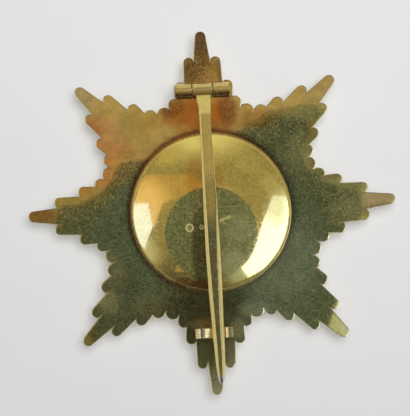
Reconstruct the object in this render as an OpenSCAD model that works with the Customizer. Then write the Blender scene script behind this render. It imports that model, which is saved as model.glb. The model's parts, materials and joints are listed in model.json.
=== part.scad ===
// Back of an eight-pointed breast star, lying face down.
// Millimetres. +Z is the back of the star, +Y points along the arm with the hinge.
// The origin is the middle of the flat front face that the star lies on.

/* [Star] */
// Mean reach of an arm from the middle to its tip
star_reach = 41.3; // [38:0.1:46]
// Thickness of the plate between its flat back and the valleys of its front
plate_t = 1.2; // [0.8:0.1:2]
// Angle between a ray's middle line and its side
flank_angle = 7; // [5:0.5:9]
// Height of a front ridge where it leaves the medallion
ridge_inner = 1.2; // [0.4:0.1:1.8]
// Height of a front ridge at the ray's round tip
ridge_outer = 0.6; // [0.2:0.1:1.2]
// How much the back falls from beside the dome to an arm's tip
back_fall = 0.2; // [0.1:0.05:0.4]
// Straight steps in each round tip
tip_steps = 5; // [4:1:8]

/* [Medallion] */
// Radius of the round boss on the front
medallion_r = 17.8; // [14:0.1:18]
// Height of the boss, from its flat face to the plate
medallion_h = 3.4; // [2.6:0.1:5]
// Thickness of its face
medallion_face = 1; // [0.8:0.1:1.4]
// Thickness of its round wall
medallion_wall = 1.6; // [1:0.1:2.5]
// Radius of the middle of the groove in its face
groove_r = 14; // [11:0.1:14]
// Width of that groove
groove_w = 1; // [0.4:0.1:1.6]
// Depth of that groove
groove_deep = 0.4; // [0.2:0.1:0.6]

/* [Back cover] */
// Radius of the dome
cover_r = 17.6; // [14:0.1:18]
// Rise of the dome above its upright rim
cover_rise = 2.7; // [2:0.1:3]
// Height of the upright rim
cover_rim = 0.5; // [0.3:0.1:0.8]
// Thickness of the sheet
cover_t = 0.6; // [0.4:0.1:0.8]
// Width of the thin flange outside the rim
flange_w = 0.5; // [0.2:0.1:1]
// Thickness of that flange
flange_t = 0.3; // [0.2:0.1:0.5]

/* [Hinge] */
// Radius of the knuckles
knuckle_r = 1.45; // [1.2:0.05:1.6]
// Length of each outer knuckle
outer_knuckle = 3.8; // [2.5:0.1:4.5]
// Length of the middle knuckle
mid_knuckle = 4.5; // [4:0.1:6]
// Gap between two knuckles
knuckle_gap = 0.15; // [0.1:0.05:0.3]
// Radius of the rod through the knuckles
rod_r = 0.6; // [0.4:0.05:0.8]
// Gap between the rod and its bores, on the radius
rod_clear = 0.05; // [0.02:0.01:0.1]
// Gap between the middle knuckle and the plate
under_clear = 0.2; // [0.15:0.05:0.4]
// Width of the soldered foot under each outer knuckle
foot_w = 2.2; // [1.4:0.1:2.6]
// Distance of the hinge from the star's middle, along its arm
hinge_y = 27.7; // [26:0.1:28.5]
// Sideways place of the hinge's middle
hinge_x = -0.6; // [-1:0.1:1]

/* [Catch] */
// Width of the strip that is bent into the catch, along the pin
catch_w = 2.3; // [1.8:0.1:3]
// Height of the catch above the plate
catch_h = 3; // [2.6:0.1:3.4]
// Thickness of the strip
strip_t = 0.6; // [0.4:0.1:0.8]
// Length of the strip's upper leaf, from the back of the bend to its lip
leaf_l = 7.9; // [6:0.1:9]
// How far the soldered lower leaf reaches past the upper one
base_extra = 0.4; // [0.2:0.1:1]
// Radius of the raised lip at the leaf's end
lip_r = 1.4; // [1:0.1:2]
// Angle of that lip
lip_angle = 35; // [20:5:45]
// Distance of the catch below the star's middle
catch_y = 27.2; // [26:0.1:28]
// Sideways place of the back of the bend
catch_x = -4.8; // [-5.5:0.1:-4]

/* [Pin] */
// Corners in the pin's cross-section
pin_sides = 16; // [12:4:24]
// Gap between the pin and what it lies on or passes over
pin_clear = 0.05; // [0.03:0.01:0.1]

/* [Hidden] */
$fn = 64;

// A ray: its turn from the arm in degrees, its share of the arm's reach, its tip's radius
TURN = 0;
SHARE = 1;
TIP_R = 2;
RAYS = [
    [0, 1, 1.25],
    [5.1, 0.86, 1.25],
    [10.6, 0.735, 1.35],
    [15.6, 0.655, 1.45],
    [22.5, 0.63, 1.7],
];
rays_per_arm = 8;
arm_step = 45;

// An arm, from the right-hand one on anticlockwise: how much longer than the mean it is, and how
// far it is turned from its even place
LONGER = 0;
ASKEW = 1;
ARMS = [
    [0.5, 1.4],
    [0.3, 0.4],
    [0.1, 0.7],
    [0.3, -0.2],
    [-0.1, -1.1],
    [-0.2, -1.2],
    [-0.3, -0.7],
    [0.1, 0.1],
];
ray_count = len(ARMS) * rays_per_arm;

// The pin's sections from the hinge to the tip: distance from the star's middle along the arm,
// width, thickness, height of its underside above the plate, sideways place, and squareness,
// where 2 is an oval and more is flatter
ALONG = 0;
WIDE = 1;
THICK = 2;
UNDER = 3;
SIDE = 4;
SQUARE = 5;
PIN = [
    [hinge_y - 0.9, 3.4, 1.2, 0.95, -0.4, 5],
    [26, 3.4, 1.2, 1.1, -0.4, 5],
    [23.4, 2.75, 1.25, 1.6, -0.25, 5],
    [20, 2.6, 1.3, 2.1, -0.3, 5],
    [16.4, 2.55, 1.4, 2.6, -0.3, 5],
    [12, 2.7, 1.5, 3.15, -0.2, 4.5],
    [7.3, 2.85, 1.55, 3.6, -0.15, 4],
    [1.2, 3.05, 1.6, 3.95, -0.1, 3.6],
    [-3.2, 3.15, 1.65, 4, -0.05, 3.2],
    [-9, 3.2, 1.65, 3.95, 0, 2.8],
    [-15, 3.1, 1.6, 3.7, 0.1, 2.6],
    [-19, 3, 1.5, 3.5, 0.15, 2.4],
    [-24, 2.7, 1.45, 3.2, 0.25, 2.3],
    [-catch_y, 2.55, 1.4, catch_h + pin_clear, 0.3, 2.2],
    [-30, 2.35, 1.35, 3, 0.4, 2.2],
    [-33.6, 2.05, 1.2, 2.95, 0.45, 2.1],
    [-37, 1.45, 0.95, 2.95, 0.5, 2],
    [-38.1, 0.8, 0.6, 3.05, 0.52, 2],
    [-38.5, 0.25, 0.25, 3.2, 0.54, 2],
];

// Gap between pieces that lie on each other
seat_gap = 0.05;
// Depth that soldered pieces are let into the plate
solder_sink = 0.2;
// Extra length that cutting shapes have past the solid
cut_over = 1;
// Straight steps in each bend of the catch
bend_steps = 10;

plate_front = medallion_h + seat_gap;
plate_back = plate_front + plate_t;
relief_r = medallion_r + 0.3;
cover_z = plate_back + seat_gap;
dome_r = (pow(cover_r, 2) + pow(cover_rise, 2)) / (2 * cover_rise);
dome_centre = cover_rim + cover_rise - dome_r;
hinge_z = plate_back + knuckle_r + under_clear;
hinge_l = mid_knuckle + 2 * (outer_knuckle + knuckle_gap);
bore_r = rod_r + rod_clear;

// A flat point turned about the origin
function turned(p, a) = [p.x * cos(a) - p.y * sin(a), p.x * sin(a) + p.y * cos(a)];

// Points along an arc
function arc(c, r, from, to, steps) =
    [for (i = [0 : steps]) let (a = from + (to - from) * i / steps) c + r * [cos(a), sin(a)]];

// Ray k counts anticlockwise from the right-hand arm's longest ray
function arm_of(k) = floor((k + rays_per_arm / 2 - 1) / rays_per_arm);
function steps_from_arm(k) = k - rays_per_arm * arm_of(k);
function ray_row(k) = RAYS[abs(steps_from_arm(k))];

// An arm's value, blended halfway into its neighbour's at the shared ray between them
function blended(k, column) =
    let (arm = arm_of(k),
         own = ARMS[(arm + len(ARMS)) % len(ARMS)][column],
         other = ARMS[(arm + sign(steps_from_arm(k)) + len(ARMS)) % len(ARMS)][column])
    own + (other - own) * ray_row(k)[TURN] / arm_step;

function bearing(k) =
    arm_step * arm_of(k) + sign(steps_from_arm(k)) * ray_row(k)[TURN] + blended(k, ASKEW);
function ray_reach(k) = (star_reach + blended(k, LONGER)) * ray_row(k)[SHARE];
function tip_r(k) = ray_row(k)[TIP_R];
function tip_centre(k) = turned([ray_reach(k) - tip_r(k), 0], bearing(k));

// The notch of two neighbours: where the longer ray's side meets the shorter ray's round tip
function notch(k, next) =
    let (far = ray_reach(k) > ray_reach(next) ? k : next,
         near = far == k ? next : k,
         way = far == k ? 1 : -1,
         lean = bearing(far) + way * (90 - flank_angle),
         start = tip_centre(far) + tip_r(far) * [cos(lean), sin(lean)],
         inward = way * [-sin(lean), cos(lean)],
         gap = start - tip_centre(near),
         b = gap * inward,
         reach = -b - sqrt(max(0, b * b - gap * gap + pow(tip_r(near), 2))))
    start + reach * inward;

// Whether a ray's side runs on past its neighbour's tip
function is_longer(k, other) = ray_reach(k) > ray_reach(other);

// Angle of a point about the ray's tip, counted from the ray's own direction
function about_tip(k, p) =
    let (q = turned(p - tip_centre(k), -bearing(k))) atan2(q.y, q.x);

// The ray's round tip, from the side or notch before it to the one after it
function tip_arc(k) =
    let (side = 90 - flank_angle,
         from = is_longer(k, k - 1) ? -side : about_tip(k, notch(k - 1, k)),
         to = is_longer(k, k + 1) ? side : about_tip(k, notch(k, k + 1)))
    arc(tip_centre(k), tip_r(k), bearing(k) + from, bearing(k) + to, tip_steps);

star_outline = [for (k = [0 : ray_count - 1]) each tip_arc(k)];

// Height of the plate's back at a flat point
function back_at(p) = plate_back - back_fall * max(0, norm(p) - relief_r) / (star_reach - relief_r);

// The corners of one side of the plate: the rays' round tips, then for each ray its ridge's end
// and start, and the start of the valley after it
function plate_side(height, end_drop, start_drop) =
    let (rays = [0 : ray_count - 1],
         ends = [for (k = rays) tip_centre(k)],
         starts = [for (k = rays) turned([relief_r, 0], bearing(k))],
         valleys = [for (k = rays) turned([relief_r, 0], (bearing(k) + bearing(k + 1)) / 2)])
    concat([for (p = star_outline) [p.x, p.y, height(p)]],
           [for (p = ends) [p.x, p.y, height(p) - end_drop]],
           [for (p = starts) [p.x, p.y, height(p) - start_drop]],
           [for (p = valleys) [p.x, p.y, height(p)]]);

// The faces of that side: a fan from each ridge's end over its ray, each ridge's inner heel, and
// the round middle
function plate_side_faces() =
    let (n = len(star_outline),
         end_at = n,
         start_at = n + ray_count,
         valley_at = n + 2 * ray_count,
         fans = [for (k = [0 : ray_count - 1])
             let (first = k * (tip_steps + 1),
                  last = first + tip_steps,
                  rim = concat(start_at + k,
                               valley_at + (k + ray_count - 1) % ray_count,
                               is_longer(k, k - 1) ? [(first + n - 1) % n] : [],
                               [for (i = [first : last]) i],
                               is_longer(k, k + 1) ? [(last + 1) % n] : [],
                               valley_at + k,
                               start_at + k))
             for (j = [0 : len(rim) - 2]) [end_at + k, rim[j], rim[j + 1]]],
         heels = [for (k = [0 : ray_count - 1])
             [valley_at + k, valley_at + (k + ray_count - 1) % ray_count, start_at + k]])
    concat(fans, heels, [[for (k = [0 : ray_count - 1]) valley_at + k]]);

// A face seen from its other side
function flipped(face) = [for (i = [len(face) - 1 : -1 : 0]) face[i]];

// The plate as one closed skin: smooth back, sides, and a ridge along each ray on its front
module ray_plate() {
    n = len(star_outline);
    front = plate_side(function (p) plate_front, ridge_outer, ridge_inner);
    back = plate_side(function (p) back_at(p), 0, 0);
    m = len(front);
    faces = plate_side_faces();
    sides = [for (i = [0 : n - 1]) [i, i + m, (i + 1) % n + m, (i + 1) % n]];
    back_faces = [for (face = faces) flipped([for (i = face) i + m])];
    polyhedron(concat(front, back), concat(faces, back_faces, sides));
}

// A cylinder along X, with its middle at x
module cross_rod(r, l, x) {
    translate([x, hinge_y, hinge_z]) rotate([0, 90, 0]) cylinder(r = r, h = l, center = true);
}

// The two outer knuckles, each on its soldered foot
module outer_knuckles() {
    foot_h = hinge_z - plate_back + solder_sink;
    difference() {
        for (way = [-1, 1]) {
            x = hinge_x + way * (hinge_l - outer_knuckle) / 2;
            cross_rod(knuckle_r, outer_knuckle, x);
            translate([x - outer_knuckle / 2, hinge_y - foot_w / 2, plate_back - solder_sink])
                cube([outer_knuckle, foot_w, foot_h]);
        }
        cross_rod(bore_r, hinge_l + 2 * cut_over, hinge_x);
    }
}

// The catch: a strip soldered down, bent over into an upper leaf with a raised lip
module catch_strip() {
    bend_r = catch_h / 2;
    bend = [catch_x + bend_r, bend_r];
    lip_l = lip_r * sin(lip_angle);
    leaf_end = catch_x + leaf_l - lip_l;
    lip = [leaf_end, catch_h - strip_t + lip_r];
    base_end = catch_x + leaf_l + base_extra;
    profile = concat(
        [[base_end, -solder_sink], [base_end, strip_t]],
        arc(bend, bend_r - strip_t, 270, 90, bend_steps),
        arc(lip, lip_r, 270, 270 + lip_angle, bend_steps),
        arc(lip, lip_r - strip_t, 270 + lip_angle, 270, bend_steps),
        arc(bend, bend_r, 90, 270, bend_steps),
        [[bend.x, -solder_sink]]);
    translate([0, -catch_y, plate_back])
        rotate([90, 0, 0])
            linear_extrude(height = catch_w, center = true) polygon(profile);
}

module star() {
    color("#8a7a42") union() {
        ray_plate();
        outer_knuckles();
        catch_strip();
    }
}

// Half of the upright cut through a dome, from its middle line outwards
module dome_half(radius, ball_r) {
    intersection() {
        translate([0, dome_centre]) circle(r = ball_r, $fn = 180);
        square([radius, cover_rim + cover_rise + cut_over]);
    }
}

module back_cover() {
    color("#c8a94f") translate([0, 0, cover_z]) rotate_extrude() {
        difference() {
            dome_half(cover_r, dome_r);
            translate([0, -cut_over]) square([cover_r - cover_t, cut_over + 0.01]);
            dome_half(cover_r - cover_t, dome_r - cover_t);
        }
        translate([cover_r - cover_t / 2, 0]) square([flange_w + cover_t / 2, flange_t]);
    }
}

module medallion() {
    half_groove = groove_w / 2;
    color("#b8963f") rotate_extrude() polygon([
        [0, 0],
        [groove_r - half_groove, 0],
        [groove_r - half_groove, groove_deep],
        [groove_r + half_groove, groove_deep],
        [groove_r + half_groove, 0],
        [medallion_r, 0],
        [medallion_r, medallion_h],
        [medallion_r - medallion_wall, medallion_h],
        [medallion_r - medallion_wall, medallion_face],
        [0, medallion_face],
    ]);
}

module hinge_rod() {
    color("#a8904c") cross_rod(rod_r, hinge_l, hinge_x);
}

// One cross-section of the pin, as points in space
function pin_ring(row) =
    [for (i = [0 : pin_sides - 1])
        let (a = 360 * i / pin_sides,
             power = 2 / row[SQUARE],
             x = sign(cos(a)) * pow(abs(cos(a)), power),
             z = sign(sin(a)) * pow(abs(sin(a)), power))
        [row[SIDE] + x * row[WIDE] / 2, row[ALONG],
         plate_back + row[UNDER] + (z + 1) * row[THICK] / 2]];

// The pin's skin through all its sections
module pin_blade() {
    n = pin_sides;
    last = len(PIN) - 1;
    points = [for (row = PIN) each pin_ring(row)];
    skin = [for (s = [0 : last - 1], i = [0 : n - 1])
        let (a = s * n + i, b = s * n + (i + 1) % n)
        each [[a + n, b + n, b], [a + n, b, a]]];
    head = [[for (i = [0 : n - 1]) i]];
    tip = [[for (i = [n - 1 : -1 : 0]) last * n + i]];
    polyhedron(points, concat(skin, head, tip));
}

module pin() {
    color("#cdbb7c") union() {
        difference() {
            cross_rod(knuckle_r, mid_knuckle, hinge_x);
            cross_rod(bore_r, hinge_l + 2 * cut_over, hinge_x);
        }
        pin_blade();
    }
}

star();
back_cover();
medallion();
hinge_rod();
pin();
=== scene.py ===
"""The looks of a gilt breast star that lies face down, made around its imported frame."""
import json
import math

import bmesh
import bpy
from bpy.props import FloatProperty, FloatVectorProperty, IntProperty, PointerProperty
from mathutils import Matrix, Vector


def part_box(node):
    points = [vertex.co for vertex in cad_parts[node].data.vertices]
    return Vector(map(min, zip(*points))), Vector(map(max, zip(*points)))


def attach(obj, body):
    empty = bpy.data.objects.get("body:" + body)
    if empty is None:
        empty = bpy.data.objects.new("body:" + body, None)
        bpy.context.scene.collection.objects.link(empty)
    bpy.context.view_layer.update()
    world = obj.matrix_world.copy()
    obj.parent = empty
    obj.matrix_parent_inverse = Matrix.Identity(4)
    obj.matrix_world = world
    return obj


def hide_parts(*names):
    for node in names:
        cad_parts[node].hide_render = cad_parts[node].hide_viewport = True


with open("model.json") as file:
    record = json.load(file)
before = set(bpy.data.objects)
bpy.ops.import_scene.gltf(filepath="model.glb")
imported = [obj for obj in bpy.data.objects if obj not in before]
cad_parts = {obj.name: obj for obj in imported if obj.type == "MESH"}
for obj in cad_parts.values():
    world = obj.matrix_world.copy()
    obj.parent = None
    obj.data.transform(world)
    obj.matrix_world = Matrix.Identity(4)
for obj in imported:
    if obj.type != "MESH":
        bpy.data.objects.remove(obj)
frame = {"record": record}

bl_info = {
    "name": "Breast Star, Back View",
    "version": (1, 0, 0),
    "blender": (4, 5, 0),
    "location": "View3D > Sidebar > Star",
    "description": "A gilt eight-pointed breast star with its domed cover, pin hinge and catch",
    "category": "Add Mesh",
}

MM = 0.001
SEAT_GAP = 0.05 * MM
SOLDER_SINK = 0.2 * MM

# Where the frame's own pieces stand
COVER_LOW, COVER_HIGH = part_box("back_cover")
MEDALLION_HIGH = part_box("medallion")[1]
ROD_LOW, ROD_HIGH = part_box("hinge_rod")
HINGE = Vector(frame["record"]["behaviour"]["joints"][0]["pos_m"])
PLATE_BACK = COVER_LOW.z - SEAT_GAP
PLATE_FRONT = MEDALLION_HIGH.z + SEAT_GAP

# A ray, outwards from an arm's middle one: its turn from the arm in degrees, its share of the arm's
# reach, and its tip's radius in mm
RAYS = [
    (0, 1, 1.25),
    (5.1, 0.86, 1.25),
    (10.6, 0.735, 1.35),
    (15.6, 0.655, 1.45),
    (22.5, 0.63, 1.7),
]
MAIN_TIP_R = RAYS[0][2]
RAYS_PER_ARM = 8
ARM_STEP = 45

# An arm, from the right-hand one on anticlockwise: how many mm longer than the mean it is, and how
# many degrees it is turned from its even place
ARMS = [
    (0.5, 1.4),
    (0.3, 0.4),
    (0.1, 0.7),
    (0.3, -0.2),
    (-0.1, -1.1),
    (-0.2, -1.2),
    (-0.3, -0.7),
    (0.1, 0.1),
]

# The pin's sections from the hinge to the tip, in mm: distance from the star's middle along the
# arm, width, thickness, height of its underside above the plate, sideways place, and width of
# the bevels that are filed along the left and right of its top
ALONG, WIDE, THICK, UNDER, SIDE, LEFT, RIGHT = range(7)
PIN = [
    (26.8, 3.4, 1.2, 0.95, -0.4, 0.15, 0.1),
    (26, 3.4, 1.2, 1.05, -0.4, 0.15, 0.1),
    (23.1, 2.75, 1.35, 1.7, -0.25, 0.4, 0.12),
    (21.6, 2.65, 1.32, 2.1, -0.28, 0.43, 0.12),
    (20, 2.6, 1.3, 2.3, -0.3, 0.45, 0.12),
    (16.4, 2.55, 1.4, 2.7, -0.3, 0.42, 0.12),
    (12, 2.7, 1.5, 3.15, -0.2, 0.42, 0.15),
    (7.3, 2.85, 1.55, 3.6, -0.15, 0.5, 0.15),
    (1.2, 3.05, 1.6, 3.95, -0.1, 0.6, 0.2),
    (-3.2, 3.15, 1.65, 4, -0.05, 0.68, 0.45),
    (-9, 3.2, 1.65, 3.95, 0, 0.72, 0.7),
    (-15, 3.1, 1.6, 3.7, 0.1, 0.76, 0.8),
    (-19, 3, 1.5, 3.5, 0.15, 0.8, 0.85),
    (-24, 2.7, 1.45, 3.2, 0.25, 0.78, 0.8),
    (-27.2, 2.55, 1.4, 3.05, 0.3, 0.74, 0.76),
    (-30, 2.35, 1.35, 3, 0.4, 0.68, 0.7),
    (-33.6, 2.05, 1.2, 2.95, 0.45, 0.58, 0.6),
    (-37, 1.45, 0.95, 2.95, 0.5, 0.4, 0.4),
    (-38.1, 0.8, 0.6, 3.05, 0.52, 0.22, 0.22),
    (-38.5, 0.25, 0.25, 3.2, 0.54, 0.08, 0.08),
]

# Plain punches in the dome, in mm: their middle, half their length and half their width
PUNCHES = [
    (-4.95, -3.6, 0.88, 0.88),
    (-2.3, -3.6, 0.4, 0.55),
    (2.2, -2.3, 0.3, 0.3),
    (2.85, -2.05, 0.3, 0.3),
    (3.5, -1.8, 0.3, 0.3),
    (4.15, -1.55, 0.3, 0.3),
]

# Stains and painted shade on the plate's back, in mm: their middle, half width, half height,
# strength and colour
PLATE_STAINS_AND_SHADE = [
    (-25, 18, 11, 8, 0.5, "#e3a678"),
    (-17, 24, 6, 4, 0.5, "#e0c878"),
    (-21, 14, 6, 4, 0.45, "#cf8f62"),
    (-24, 10, 4, 5, 0.6, "#d98a5c"),
    (-12, 21.5, 6, 3, 0.5, "#d9a94a"),
    (-1.5, 22.5, 10.5, 7, 0.95, "#cc7a22"),
    (-8.5, 23.5, 3.4, 3.6, 0.5, "#9c3f1c"),
    (4.5, 23, 2.6, 5, 0.45, "#a44a20"),
    (11, 20.5, 6, 3, 0.6, "#c88a34"),
    (0, 31, 7, 5, 0.5, "#c08c3c"),
    (0, 40, 5, 9, 0.85, "#86684c"),
    (-3.5, 32, 2.6, 4, 0.6, "#7c5430"),
    (4.2, 31.5, 2.4, 4.5, 0.6, "#7c5c34"),
    (-30, 27, 7, 6, 0.6, "#d2c8a0"),
    (-26, 19, 4, 6, 0.5, "#c46a3c"),
    (-17, 20, 5, 5, 0.4, "#b8a458"),
    (-24, -20, 15, 12, 0.55, "#bca666"),
    (-14, -22, 5, 4, 0.5, "#a07c4c"),
    (-30, -28, 5, 4, 0.5, "#b49a60"),
    (-23, -12, 5, 7, 0.35, "#c8a868"),
    (-39, 1.2, 6, 4, 0.75, "#c2844c"),
    (-31, 8, 9, 3, 0.5, "#d99c48"),
    (39, 1, 7, 5, 0.8, "#dcc79e"),
    (28, 26, 9, 6, 0.6, "#dcc58c"),
    (23.8, 17.5, 3, 5, 0.5, "#d6b060"),
    (31, -28, 5, 5, 0.6, "#ece6c4"),
    (23.8, 11, 3, 4, 0.7, "#a87c4c"),
    (30, 6.4, 7.5, 2, 0.7, "#a87c4c"),
    # Painted shade low on the plate: below the dome and beside the pin
    (0, -26, 15, 12, 0.5, "#8f8258"),
    (-1, -20, 11, 5, 0.5, "#6e5630"),
    (9, -21.5, 5, 3, 0.4, "#d8d6a8"),
    # An amber band just above the catch
    (-1.5, -24.6, 5.5, 1.8, 0.8, "#a87a2c"),
    (1, -38, 6, 7, 0.6, "#c8bd98"),
]

# Stains on the dome, and the pin's painted shade, in the same columns
DOME_STAINS_AND_SHADE = [
    # Painted shade of the pin, beside it on the dome
    (-2.9, -9.5, 2.6, 13, 0.6, "#5c5224"),
    (-3.2, 8.2, 2.6, 7, 0.45, "#d08c20"),
    (2, 7.4, 1.6, 4, 0.35, "#d08c20"),
    (-2.6, -16.7, 4.2, 1.9, 0.6, "#a03c18"),
    (-7, -15.8, 4.5, 1.6, 0.6, "#a84420"),
]

# Where the plate is pitted, in mm: middle, half width, half height and strength
PITTED = [
    (-1.5, 38, 7, 13, 0.9),
    (-7.5, 24.5, 4, 3.5, 0.7),
    (5, 23, 3, 5, 0.6),
    (-39, 0.5, 6, 4, 0.5),
    (38, -1.5, 7, 2.5, 0.6),
    (0, -27, 14, 10, 0.35),
]

# Where the plate is worn dull, in the same columns
DULL = [
    (1.5, -39, 5, 8, 0.45),
    (31, -29, 5, 5, 0.3),
    (23.8, 11, 3, 4, 0.35),
    (30, 6.4, 7.5, 2, 0.35),
    (5, -26.5, 2.5, 3.5, 0.35),
    (3.2, -31.5, 2.2, 4, 0.25),
    (-24, -19, 4, 4, 0.25),
    (8.5, -22.5, 5, 3, 0.2),
    (-2.5, -25, 5, 1.5, 0.3),
    (-33, -32, 5, 5, 0.3),
    (-22.5, -12, 4, 6, 0.14),
    (-15, -20.5, 5, 4, 0.12),
    (31, -1.5, 6, 5, 0.14),
    (20.5, 13, 4, 5, 0.12),
]

# How bright the painted highlight along the upper edge of the dome's rim is, where the punches'
# outlines have 1
RIM_HIGHLIGHT = 0.5

# The share of bare metal in the colour of a scratch
PALER = 0.15


def linear(hex_colour):
    """The linear colour of an sRGB hex value such as #c8a94f."""
    parts = [int(hex_colour[i:i + 2], 16) / 255 for i in (1, 3, 5)]
    return tuple(c / 12.92 if c <= 0.04045 else ((c + 0.055) / 1.055) ** 2.4 for c in parts)


def turned(point, degrees):
    """A point turned about Z."""
    return Matrix.Rotation(math.radians(degrees), 3, "Z") @ Vector(point)


def fed(tree, node, inputs):
    """Sets a node's inputs to values, or links them to a socket or to a node's first output."""
    for socket, value in inputs.items():
        if isinstance(value, bpy.types.Node):
            value = value.outputs[0]
        if isinstance(value, bpy.types.NodeSocket):
            tree.links.new(value, node.inputs[socket])
        else:
            node.inputs[socket].default_value = value
    return node


def add(tree, kind, inputs=None, **settings):
    """Adds a node with its settings and its inputs."""
    new = tree.nodes.new(kind)
    for name, value in settings.items():
        setattr(new, name, value)
    return fed(tree, new, inputs or {})


# Sizes, colours and stage settings that a user would change

def length(name, description, millimetres):
    """A length setting, given in millimetres and kept in metres."""
    return FloatProperty(name=name, description=description, default=millimetres * MM,
                         unit="LENGTH", precision=5)


def colour(name, description, hex_colour):
    """A colour setting."""
    return FloatVectorProperty(name=name, description=description, default=linear(hex_colour),
                               subtype="COLOR", size=3, min=0, max=1)


def angle(name, description, degrees):
    """An angle setting, given in degrees and kept in radians."""
    return FloatProperty(name=name, description=description, default=math.radians(degrees),
                         subtype="ANGLE")


def power(name, description, watts):
    """A lamp's power."""
    return FloatProperty(name=name, description=description, default=watts, unit="POWER")


class StarSizes(bpy.types.PropertyGroup):
    """Sizes of the star's pieces"""
    star_reach: length("Arm reach", "Mean reach of an arm from the star's middle to its tip", 41.3)
    edge_round: length("Edge rounding", "Radius of the rounded edge of the plate's back", 0.24)
    ridge_inner: length("Inner ridge", "Height of a front ridge beside the medallion", 1.2)
    ridge_outer: length("Outer ridge", "Height of a front ridge at its round tip", 0.6)
    ray_length: length("Ray length", "How far a ray runs inwards from its round tip", 24)
    flank_angle: angle("Flank angle", "Angle between a ray's middle line and its side", 7)
    cover_rise: length("Dome rise", "Rise of the dome above its upright rim", 2.7)
    cover_rim: length("Dome rim", "Height of the dome's upright rim", 0.5)
    cover_sheet: length("Dome sheet", "Thickness of the dome's sheet", 0.6)
    flange_width: length("Flange width", "Width of the thin flange round the dome", 0.5)
    flange_height: length("Flange height", "Height of that flange", 0.3)
    punch_depth: length("Punch depth", "Depth of the plain punches in the dome", 0.05)
    knuckle_radius: length("Knuckle radius", "Radius of the hinge's knuckles", 1.45)
    outer_knuckle: length("Outer knuckle", "Length of each outer knuckle", 3.8)
    mid_knuckle: length("Middle knuckle", "Length of the middle knuckle", 4.5)
    bore_radius: length("Bore radius", "Radius of the bore through the knuckles", 0.65)
    foot_width: length("Foot width", "Width of the soldered foot under an outer knuckle", 2.2)
    catch_width: length("Catch width", "Width of the strip that the catch is bent from", 2.15)
    catch_height: length("Catch height", "Height of the catch above the plate", 3)
    catch_strip: length("Catch strip", "Thickness of that strip", 0.6)
    catch_leaf: length("Catch leaf", "Length of the catch's upper leaf", 7.9)
    catch_base: length("Catch base", "How far the lower leaf reaches past the upper one", 0.4)
    catch_dip: length("Catch dip", "How far the upper leaf dips under the pin", 0.55)
    catch_below: length("Catch place", "Distance of the catch below the star's middle", 27.2)
    catch_left: length("Catch side", "Distance of its bend to the left of the middle", 4.8)
    solder_bead: length("Solder seam", "Radius of the solder seams", 0.2)


class StarFinish(bpy.types.PropertyGroup):
    """Colours of the star's metals and stains"""
    # Warmer and greenish gilding split the plate along its mirrored gold and shaded zones: partly
    # their own tone, partly a painted reflection
    warm_gilt: colour("Warm gilding", "Fire-gilding where heat has warmed it", "#ecce7c")
    cool_gilt: colour("Cool gilding", "Fire-gilding with a thin greenish tarnish", "#d6ce88")
    dome_gilt: colour("Dome gilding", "Polished gilt sheet of the dome", "#f6e284")
    pale_gilt: colour("Pale gilding", "Thin pale gilding of the pin and hinge", "#f0da90")
    silver: colour("Bare silver", "Silver at the pin's tip, where the gilding is gone", "#d8d4d6")
    heat_stain: colour("Heat stain", "Reddish brown round the dome, from its soldering", "#8c3c14")
    # Its brown round the dome is painted shade as well as soiling
    pits_and_shade: colour("Pitting", "Brown of the pits and of the dirt round the dome", "#55301c")
    bare_metal: colour("Bare metal", "Silver that wear lays open under the gilding", "#ece6bc")
    # Painted shade: the olive gold on the knuckles' side that faces the star's middle
    shaded_side_gilt: colour("Old gilding", "Dull gilding on the inner side of the hinge", "#a8802e")
    # Also the deep brown of painted shade low on the hinge, catch and solder, under the knuckles,
    # in their gaps, and on the plate's edge where it faces up the star
    tarnish_and_shade: colour("Tarnish", "Brown tarnish and old solder in the corners", "#4c2e0c")


class StarStage(bpy.types.PropertyGroup):
    """Camera, floor and light"""
    camera_distance: length("Camera distance", "From the camera to the plate", 300)
    camera_height: angle("Camera elevation", "Angle of the camera above the floor", 85)
    camera_roll: angle("Camera roll", "Turn of the star in the picture, anticlockwise", 2.8)
    picture_height: length("Picture height", "Height that the picture takes in at the plate", 93.85)
    aim_x: length("Aim, sideways", "Picture's middle to the right of the star's middle", -1.33)
    aim_y: length("Aim, upwards", "Picture's middle above the star's middle", 0.86)
    floor: colour("Floor", "Pale matt floor", "#efeeec")
    key_power: power("Key light", "Power of the key light", 2)
    fill_power: power("Fill light", "Power of the shadowless light overhead", 2.3)
    seed: IntProperty(name="Seed", description="Seed of the solder beads' scatter", default=4)


# Mesh helpers

def linked(data, name):
    """A new object in the scene for a mesh, a lamp or a camera."""
    obj = bpy.data.objects.new(name, data)
    bpy.context.scene.collection.objects.link(obj)
    return obj


def meshed(bm, name):
    """The mesh of a bmesh, which is used up."""
    mesh = bpy.data.meshes.new(name)
    bm.to_mesh(mesh)
    bm.free()
    return mesh


def finished(bm, name, crease=35):
    """A new object from a bmesh, smooth but for edges sharper than crease degrees."""
    bmesh.ops.recalc_face_normals(bm, faces=bm.faces)
    return shown(meshed(bm, name), name, crease)


def shown(mesh, name, crease=35):
    """An object of a mesh, smooth but for edges sharper than crease degrees."""
    mesh.shade_smooth()
    mesh.set_sharp_from_angle(angle=math.radians(crease))
    return linked(mesh, name)


def placed(obj, material, body, slot, *stands_for):
    """Gives a piece its finish and sets it on its body, in place of the nodes it stands for."""
    obj.data.materials.clear()
    obj.data.materials.append(material)
    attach(obj, body)
    if stands_for:
        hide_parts(*stands_for)


def dropped(*objects):
    """Removes helper objects."""
    for obj in objects:
        bpy.data.objects.remove(obj, do_unlink=True)


def plain_mesh(obj):
    """The object's mesh with its modifiers applied."""
    graph = bpy.context.evaluated_depsgraph_get()
    return bpy.data.meshes.new_from_object(obj.evaluated_get(graph), depsgraph=graph)


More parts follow.
